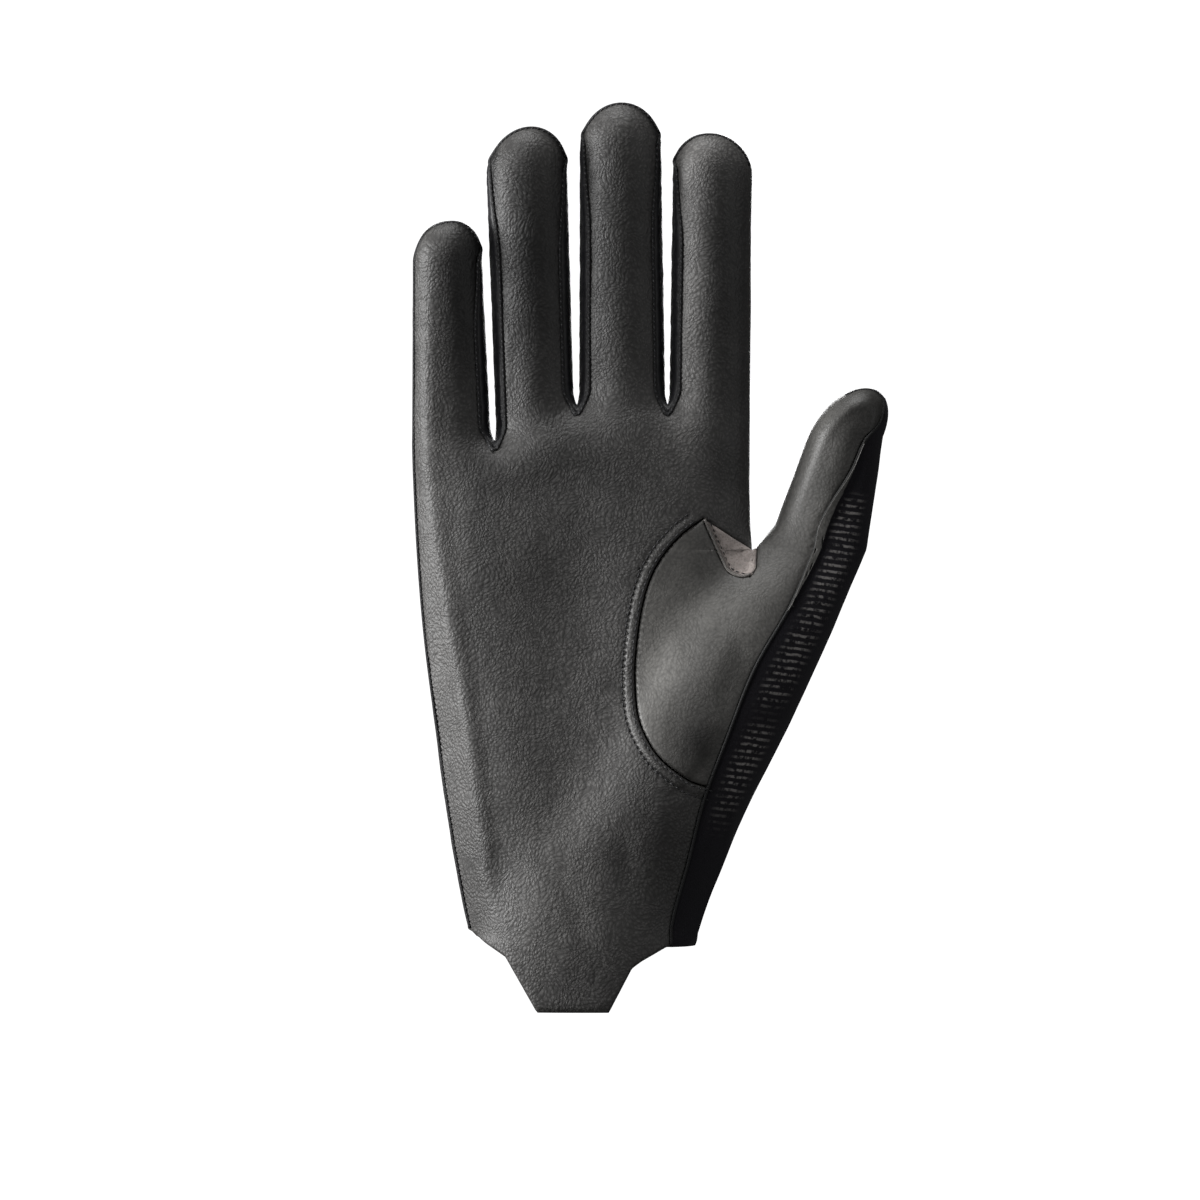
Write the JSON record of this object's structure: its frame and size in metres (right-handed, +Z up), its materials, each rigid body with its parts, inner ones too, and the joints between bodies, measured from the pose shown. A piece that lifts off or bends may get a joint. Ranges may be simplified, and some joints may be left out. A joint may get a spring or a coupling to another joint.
{
  "type": "horse riding glove",
  "caption": "Right-hand riding glove of dark leather with a stretch fabric back, set-in thumb, fork strips between the fingers and a pull tab at the wrist.",
  "frame": {"origin": "middle of the wrist opening", "axes": "+Z up to the fingertips, palm face towards -Y, thumb towards +X"},
  "size_m": [0.124, 0.0412, 0.236],
  "materials": {
    "palm_leather": "matt grained",
    "thumb_leather": "matt grained",
    "gusset_suede": "suede",
    "fork_leather": "satin",
    "stretch_fabric": "matt ribbed"
  },
  "bodies": {
    "root": {"palm_leather": "palm_leather", "thumb_leather": "thumb_leather", "thumb_gusset": "gusset_suede", "back_fabric": "stretch_fabric", "fork_strip_little_ring": "fork_leather", "fork_strip_ring_middle": "fork_leather", "fork_strip_middle_index": "fork_leather"}
  },
  "joints": []
}
